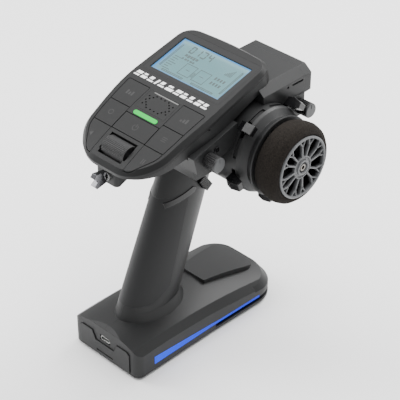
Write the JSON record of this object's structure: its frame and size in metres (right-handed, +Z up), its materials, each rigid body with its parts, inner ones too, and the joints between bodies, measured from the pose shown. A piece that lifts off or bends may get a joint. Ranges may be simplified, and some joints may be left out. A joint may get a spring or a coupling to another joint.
{
  "type": "radio transmitter controller",
  "caption": "Pistol-grip radio controller for model cars: leaning grip on a flat battery base, tilted head with screen and keys, foam steering wheel on the right, finger-loop throttle trigger.",
  "frame": {"origin": "on the underside of the base, near the middle of its length", "axes": "+Z up, +Y away from the user, +X towards the steering wheel"},
  "size_m": [0.1205, 0.1537, 0.1985],
  "materials": {
    "casing": "fine moulded texture, charcoal",
    "panel": "fine moulded texture, dark charcoal",
    "soft_rubber": "matt soft touch",
    "gloss_black": "polished",
    "knob": "knurled",
    "blue_light": "lit light guide",
    "green_light": "lit light guide",
    "screen": "clear lens",
    "display": "backlit display",
    "steel": "machined",
    "toggle_metal": "dark chrome",
    "cell_wrap": "wrapped cell",
    "board": "circuit board",
    "inner_plastic": "moulded",
    "rim": "satin grey",
    "foam": "open cell foam"
  },
  "bodies": {
    "chassis": {"base_bottom_plate": "casing", "base_screws": "steel", "base_top_pad": "casing", "battery_cells": "cell_wrap", "battery_contacts": "steel", "charge_board": "board", "grip_trim": "gloss_black", "handle_shell_left": "casing", "handle_shell_right": "casing", "head_lower_shell": "casing", "head_screws": "steel", "head_upper_cover": "panel", "keypad_membrane": "soft_rubber", "lcd_module": "display", "left_switch_pod": "casing", "light_strip_left": "blue_light", "light_strip_right": "blue_light", "main_board": "board", "module_bay": "casing", "palm_grip": "soft_rubber", "radio_module": "board", "right_switch_pod": "casing", "roller_axle": "steel", "rubber_feet": "soft_rubber", "screen_lens": "screen", "speaker": "inner_plastic", "speaker_grille": "panel", "status_light_bar": "green_light", "steering_bearings": "steel", "steering_sensor": "board", "steering_spring": "steel", "toggle_bush": "steel", "trigger_axle": "steel", "usb_port": "steel", "wheel_housing": "casing"},
    "steering_wheel": {"steering_shaft": "steel", "steering_magnet": "steel", "steering_rim": "rim", "foam_grip": "foam", "hub_screw": "steel"},
    "trigger": {"throttle_trigger": "casing"},
    "roller": {"scroll_roller": "knob"},
    "key_left_upper_body": {"key_left_upper": "panel"},
    "key_left_middle_body": {"key_left_middle": "panel"},
    "key_left_lower_body": {"key_left_lower": "panel"},
    "key_right_upper_body": {"key_right_upper": "panel"},
    "key_right_middle_body": {"key_right_middle": "panel"},
    "key_right_lower_body": {"key_right_lower": "panel"},
    "power_key_body": {"power_key": "panel"},
    "trim_1": {"trim_lever_1": "gloss_black"},
    "trim_2": {"trim_lever_2": "gloss_black"},
    "trim_3": {"trim_lever_3": "gloss_black"},
    "trim_4": {"trim_lever_4": "gloss_black"},
    "dial_front_body": {"dial_front": "knob"},
    "dial_rear_body": {"dial_rear": "knob"},
    "toggle": {"toggle_lever": "toggle_metal"},
    "side_button_body": {"side_button": "gloss_black"},
    "rocker": {"grip_rocker": "gloss_black"},
    "door": {"battery_door": "casing"},
    "bay_cover": {"module_cover": "casing"}
  },
  "joints": [
    {"name": "steering", "type": "hinge", "parent": "chassis", "child": "steering_wheel", "pos_m": [0, 0.0367, 0.1462], "axis": [1, 0, 0], "range_deg": [-35, 35], "stiffness_Nm_per_rad": 0.06},
    {"name": "throttle", "type": "hinge", "parent": "chassis", "child": "trigger", "pos_m": [0, 0.0575, 0.142], "axis": [1, 0, 0], "range_deg": [-20, 12], "stiffness_Nm_per_rad": 0.05},
    {"name": "roller_turn", "type": "hinge", "parent": "chassis", "child": "roller", "pos_m": [0, -0.04676, 0.16112], "axis": [1, 0, 0], "continuous": true},
    {"name": "key_left_upper_press", "type": "slide", "parent": "chassis", "child": "key_left_upper_body", "axis": [0, 0.2565, -0.9666], "range_m": [0, 0.0008], "stiffness_N_per_m": 400},
    {"name": "key_left_middle_press", "type": "slide", "parent": "chassis", "child": "key_left_middle_body", "axis": [0, 0.2565, -0.9666], "range_m": [0, 0.0008], "stiffness_N_per_m": 400},
    {"name": "key_left_lower_press", "type": "slide", "parent": "chassis", "child": "key_left_lower_body", "axis": [0, 0.2565, -0.9666], "range_m": [0, 0.0008], "stiffness_N_per_m": 400},
    {"name": "key_right_upper_press", "type": "slide", "parent": "chassis", "child": "key_right_upper_body", "axis": [0, 0.2565, -0.9666], "range_m": [0, 0.0008], "stiffness_N_per_m": 400},
    {"name": "key_right_middle_press", "type": "slide", "parent": "chassis", "child": "key_right_middle_body", "axis": [0, 0.2565, -0.9666], "range_m": [0, 0.0008], "stiffness_N_per_m": 400},
    {"name": "key_right_lower_press", "type": "slide", "parent": "chassis", "child": "key_right_lower_body", "axis": [0, 0.2565, -0.9666], "range_m": [0, 0.0008], "stiffness_N_per_m": 400},
    {"name": "power_key_press", "type": "slide", "parent": "chassis", "child": "power_key_body", "axis": [0, 0.2565, -0.9666], "range_m": [0, 0.0008], "stiffness_N_per_m": 400},
    {"name": "trim_1_swing", "type": "hinge", "parent": "chassis", "child": "trim_1", "pos_m": [0.0472, 0.0367, 0.1462], "axis": [1, 0, 0], "range_deg": [-6, 6], "stiffness_Nm_per_rad": 0.03},
    {"name": "trim_2_swing", "type": "hinge", "parent": "chassis", "child": "trim_2", "pos_m": [0.0472, 0.0367, 0.1462], "axis": [1, 0, 0], "range_deg": [-6, 6], "stiffness_Nm_per_rad": 0.03},
    {"name": "trim_3_swing", "type": "hinge", "parent": "chassis", "child": "trim_3", "pos_m": [0.0472, 0.0367, 0.1462], "axis": [1, 0, 0], "range_deg": [-6, 6], "stiffness_Nm_per_rad": 0.03},
    {"name": "trim_4_swing", "type": "hinge", "parent": "chassis", "child": "trim_4", "pos_m": [0.0472, 0.0367, 0.1462], "axis": [1, 0, 0], "range_deg": [-6, 6], "stiffness_Nm_per_rad": 0.03},
    {"name": "dial_front_turn", "type": "hinge", "parent": "chassis", "child": "dial_front_body", "pos_m": [0.048, -0.0124, 0.1586], "axis": [1, 0, 0], "range_deg": [-140, 140]},
    {"name": "dial_rear_turn", "type": "hinge", "parent": "chassis", "child": "dial_rear_body", "pos_m": [0.048, 0.0728, 0.1613], "axis": [1, 0, 0], "range_deg": [-140, 140]},
    {"name": "toggle_flick", "type": "hinge", "parent": "chassis", "child": "toggle", "pos_m": [-0.0212, -0.0375, 0.1298], "axis": [0, 0, 1], "range_deg": [-15, 15]},
    {"name": "side_button_press", "type": "slide", "parent": "chassis", "child": "side_button_body", "axis": [-1, 0, 0], "range_m": [0, 0.0008], "stiffness_N_per_m": 400},
    {"name": "rocker_tip", "type": "hinge", "parent": "chassis", "child": "rocker", "pos_m": [0.013, 0.013, 0.116], "axis": [0, 0.8192, 0.5736], "range_deg": [-4, 4], "stiffness_Nm_per_rad": 0.02},
    {"name": "door_slide", "type": "slide", "parent": "chassis", "child": "door", "axis": [0, -1, 0], "range_m": [0, 0.014]},
    {"name": "cover_slide", "type": "slide", "parent": "chassis", "child": "bay_cover", "axis": [0, 1, 0], "range_m": [0, 0.012]}
  ]
}
